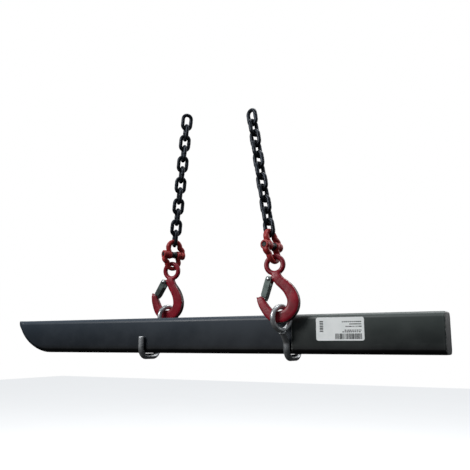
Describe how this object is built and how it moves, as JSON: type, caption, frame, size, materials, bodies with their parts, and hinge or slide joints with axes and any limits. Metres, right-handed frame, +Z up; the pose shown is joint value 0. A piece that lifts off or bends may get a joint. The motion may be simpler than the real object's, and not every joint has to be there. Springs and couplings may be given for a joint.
{
  "type": "spreader beam",
  "caption": "Two-section box beam with a curved nose, carried by opposed round-bar hooks on red latched sling hooks, red two-part couplings and black chain legs.",
  "frame": {"origin": "on the beam's centre line, midway between the two bar hooks, below the hoist's hook", "axes": "+X along the beam from the curved nose to the flat end, -Y out of the labelled face, +Z up"},
  "size_m": [0.9749, 0.149, 0.5441],
  "materials": {
    "beam_blue_black": "satin blue-black paint",
    "beam_warm_grey": "satin dark grey paint",
    "label_white": "printed film label",
    "bar_steel": "bright galvanised bar",
    "screw_steel": "zinc plated",
    "hook_red": "crimson powder coat",
    "coupling_red": "worn orange-red coat",
    "latch_zinc": "dull zinc",
    "pin_steel": "dark bare steel",
    "chain_black": "black oxide"
  },
  "bodies": {
    "beam": {"nose_shell": "beam_blue_black", "nose_plate": "beam_blue_black", "long_tube": "beam_blue_black", "inner_tube": "beam_warm_grey", "step_plate": "beam_warm_grey", "rear_plate": "beam_warm_grey", "end_tube": "beam_warm_grey", "end_plate": "beam_warm_grey", "label_plate": "label_white", "clamp_bosses": "beam_blue_black", "clamp_screws": "screw_steel"},
    "left_bar_hook": {"left_bar_hook": "bar_steel"},
    "left_sling_hook": {"left_sling_hook": "hook_red", "left_latch_pin": "pin_steel"},
    "left_latch": {"left_latch": "latch_zinc", "left_latch_spring": "screw_steel"},
    "left_coupling_lower": {"left_coupling_lower": "coupling_red", "left_load_pin": "pin_steel", "left_sleeve": "pin_steel"},
    "left_coupling_upper": {"left_coupling_upper": "coupling_red"},
    "left_link_01": {"left_link_01": "chain_black"},
    "left_link_02": {"left_link_02": "chain_black"},
    "left_link_03": {"left_link_03": "chain_black"},
    "left_link_04": {"left_link_04": "chain_black"},
    "left_link_05": {"left_link_05": "chain_black"},
    "left_link_06": {"left_link_06": "chain_black"},
    "left_link_07": {"left_link_07": "chain_black"},
    "left_link_08": {"left_link_08": "chain_black"},
    "left_link_09": {"left_link_09": "chain_black"},
    "left_link_10": {"left_link_10": "chain_black"},
    "left_link_11": {"left_link_11": "chain_black"},
    "left_link_12": {"left_link_12": "chain_black"},
    "right_bar_hook": {"right_bar_hook": "bar_steel"},
    "right_sling_hook": {"right_sling_hook": "hook_red", "right_latch_pin": "pin_steel"},
    "right_latch": {"right_latch": "latch_zinc", "right_latch_spring": "screw_steel"},
    "right_coupling_lower": {"right_coupling_lower": "coupling_red", "right_load_pin": "pin_steel", "right_sleeve": "pin_steel"},
    "right_coupling_upper": {"right_coupling_upper": "coupling_red"},
    "right_link_01": {"right_link_01": "chain_black"},
    "right_link_02": {"right_link_02": "chain_black"},
    "right_link_03": {"right_link_03": "chain_black"},
    "right_link_04": {"right_link_04": "chain_black"},
    "right_link_05": {"right_link_05": "chain_black"},
    "right_link_06": {"right_link_06": "chain_black"},
    "right_link_07": {"right_link_07": "chain_black"},
    "right_link_08": {"right_link_08": "chain_black"},
    "right_link_09": {"right_link_09": "chain_black"},
    "right_link_10": {"right_link_10": "chain_black"},
    "right_link_11": {"right_link_11": "chain_black"}
  },
  "joints": [
    {"name": "left_hook_slide", "type": "slide", "parent": "beam", "child": "left_bar_hook", "axis": [1, 0, 0], "range_m": [-0.22, 0.12]},
    {"name": "left_hook_swing", "type": "hinge", "parent": "left_bar_hook", "child": "left_sling_hook", "pos_m": [-0.15175, 0.049, 0.063], "axis": [-0.0778, 0.9943, 0.0724], "range_deg": [-20, 20]},
    {"name": "left_latch_hinge", "type": "hinge", "parent": "left_sling_hook", "child": "left_latch", "pos_m": [-0.15807, 0.04448, 0.11824], "axis": [0.0778, -0.9943, -0.0724], "range_deg": [0, 30], "stiffness_Nm_per_rad": 0.05, "springref_deg": -28.65},
    {"name": "left_coupling_swing", "type": "hinge", "parent": "left_sling_hook", "child": "left_coupling_lower", "pos_m": [-0.13841, 0.04314, 0.15789], "axis": [0.9872, 0.087, -0.1334], "range_deg": [-15, 15]},
    {"name": "left_coupling_pin", "type": "hinge", "parent": "left_coupling_lower", "child": "left_coupling_upper", "pos_m": [-0.13569, 0.04194, 0.17726], "axis": [0.4724, 0.8813, -0.012], "range_deg": [-30, 30]},
    {"name": "left_link_01_swing", "type": "hinge", "parent": "left_coupling_upper", "child": "left_link_01", "pos_m": [-0.13145, 0.04008, 0.20741], "axis": [0.4724, 0.8813, -0.012], "range_deg": [-35, 35]},
    {"name": "left_link_02_swing", "type": "hinge", "parent": "left_link_01", "child": "left_link_02", "pos_m": [-0.12826, 0.03868, 0.23014], "axis": [0.7302, -0.6679, -0.1439], "range_deg": [-45, 45]},
    {"name": "left_link_03_swing", "type": "hinge", "parent": "left_link_02", "child": "left_link_03", "pos_m": [-0.12493, 0.03721, 0.25386], "axis": [-0.6689, -0.7418, 0.0482], "range_deg": [-45, 45]},
    {"name": "left_link_04_swing", "type": "hinge", "parent": "left_link_03", "child": "left_link_04", "pos_m": [-0.12159, 0.03575, 0.27759], "axis": [-0.7302, 0.6679, 0.1439], "range_deg": [-45, 45]},
    {"name": "left_link_05_swing", "type": "hinge", "parent": "left_link_04", "child": "left_link_05", "pos_m": [-0.11826, 0.03428, 0.30131], "axis": [0.6689, 0.7418, -0.0482], "range_deg": [-45, 45]},
    {"name": "left_link_06_swing", "type": "hinge", "parent": "left_link_05", "child": "left_link_06", "pos_m": [-0.11492, 0.03282, 0.32503], "axis": [0.7302, -0.6679, -0.1439], "range_deg": [-45, 45]},
    {"name": "left_link_07_swing", "type": "hinge", "parent": "left_link_06", "child": "left_link_07", "pos_m": [-0.11159, 0.03135, 0.34875], "axis": [-0.6689, -0.7418, 0.0482], "range_deg": [-45, 45]},
    {"name": "left_link_08_swing", "type": "hinge", "parent": "left_link_07", "child": "left_link_08", "pos_m": [-0.10826, 0.02989, 0.37248], "axis": [-0.7302, 0.6679, 0.1439], "range_deg": [-45, 45]},
    {"name": "left_link_09_swing", "type": "hinge", "parent": "left_link_08", "child": "left_link_09", "pos_m": [-0.10492, 0.02842, 0.3962], "axis": [0.6689, 0.7418, -0.0482], "range_deg": [-45, 45]},
    {"name": "left_link_10_swing", "type": "hinge", "parent": "left_link_09", "child": "left_link_10", "pos_m": [-0.10159, 0.02695, 0.41992], "axis": [0.7302, -0.6679, -0.1439], "range_deg": [-45, 45]},
    {"name": "left_link_11_swing", "type": "hinge", "parent": "left_link_10", "child": "left_link_11", "pos_m": [-0.09825, 0.02549, 0.44364], "axis": [-0.6689, -0.7418, 0.0482], "range_deg": [-45, 45]},
    {"name": "left_link_12_swing", "type": "hinge", "parent": "left_link_11", "child": "left_link_12", "pos_m": [-0.09492, 0.02403, 0.46736], "axis": [-0.7302, 0.6679, 0.1439], "range_deg": [-45, 45]},
    {"name": "right_hook_slide", "type": "slide", "parent": "beam", "child": "right_bar_hook", "axis": [1, 0, 0], "range_m": [-0.2, 0]},
    {"name": "right_hook_swing", "type": "hinge", "parent": "right_bar_hook", "child": "right_sling_hook", "pos_m": [0.16375, -0.052, 0.049], "axis": [-0.1246, 0.9879, -0.0928], "range_deg": [-20, 20]},
    {"name": "right_latch_hinge", "type": "hinge", "parent": "right_sling_hook", "child": "right_latch", "pos_m": [0.14045, -0.05018, 0.09965], "axis": [0.1246, -0.9879, 0.0928], "range_deg": [0, 30], "stiffness_Nm_per_rad": 0.05, "springref_deg": -28.65},
    {"name": "right_coupling_swing", "type": "hinge", "parent": "right_sling_hook", "child": "right_coupling_lower", "pos_m": [0.14663, -0.0453, 0.14322], "axis": [0.976, 0.1388, 0.1675], "range_deg": [-15, 15]},
    {"name": "right_coupling_pin", "type": "hinge", "parent": "right_coupling_lower", "child": "right_coupling_upper", "pos_m": [0.14294, -0.04386, 0.16354], "axis": [0.1831, 0.9824, -0.0365], "range_deg": [-30, 30]},
    {"name": "right_link_01_swing", "type": "hinge", "parent": "right_coupling_upper", "child": "right_link_01", "pos_m": [0.13749, -0.04173, 0.19348], "axis": [0.1831, 0.9824, -0.0365], "range_deg": [-35, 35]},
    {"name": "right_link_02_swing", "type": "hinge", "parent": "right_link_01", "child": "right_link_02", "pos_m": [0.13339, -0.04013, 0.21605], "axis": [-0.9423, 0.275, -0.1908], "range_deg": [-45, 45]},
    {"name": "right_link_03_swing", "type": "hinge", "parent": "right_link_02", "child": "right_link_03", "pos_m": [0.12911, -0.03845, 0.23961], "axis": [-0.2832, -0.9589, 0.0167], "range_deg": [-45, 45]},
    {"name": "right_link_04_swing", "type": "hinge", "parent": "right_link_03", "child": "right_link_04", "pos_m": [0.12483, -0.03678, 0.26316], "axis": [0.9423, -0.275, 0.1908], "range_deg": [-45, 45]},
    {"name": "right_link_05_swing", "type": "hinge", "parent": "right_link_04", "child": "right_link_05", "pos_m": [0.12055, -0.0351, 0.28672], "axis": [0.2832, 0.9589, -0.0167], "range_deg": [-45, 45]},
    {"name": "right_link_06_swing", "type": "hinge", "parent": "right_link_05", "child": "right_link_06", "pos_m": [0.11627, -0.03343, 0.31027], "axis": [-0.9423, 0.275, -0.1908], "range_deg": [-45, 45]},
    {"name": "right_link_07_swing", "type": "hinge", "parent": "right_link_06", "child": "right_link_07", "pos_m": [0.11199, -0.03176, 0.33383], "axis": [-0.2832, -0.9589, 0.0167], "range_deg": [-45, 45]},
    {"name": "right_link_08_swing", "type": "hinge", "parent": "right_link_07", "child": "right_link_08", "pos_m": [0.10771, -0.03008, 0.35738], "axis": [0.9423, -0.275, 0.1908], "range_deg": [-45, 45]},
    {"name": "right_link_09_swing", "type": "hinge", "parent": "right_link_08", "child": "right_link_09", "pos_m": [0.10343, -0.02841, 0.38094], "axis": [0.2832, 0.9589, -0.0167], "range_deg": [-45, 45]},
    {"name": "right_link_10_swing", "type": "hinge", "parent": "right_link_09", "child": "right_link_10", "pos_m": [0.09915, -0.02673, 0.40449], "axis": [-0.9423, 0.275, -0.1908], "range_deg": [-45, 45]},
    {"name": "right_link_11_swing", "type": "hinge", "parent": "right_link_10", "child": "right_link_11", "pos_m": [0.09487, -0.02506, 0.42805], "axis": [-0.2832, -0.9589, 0.0167], "range_deg": [-45, 45]}
  ]
}
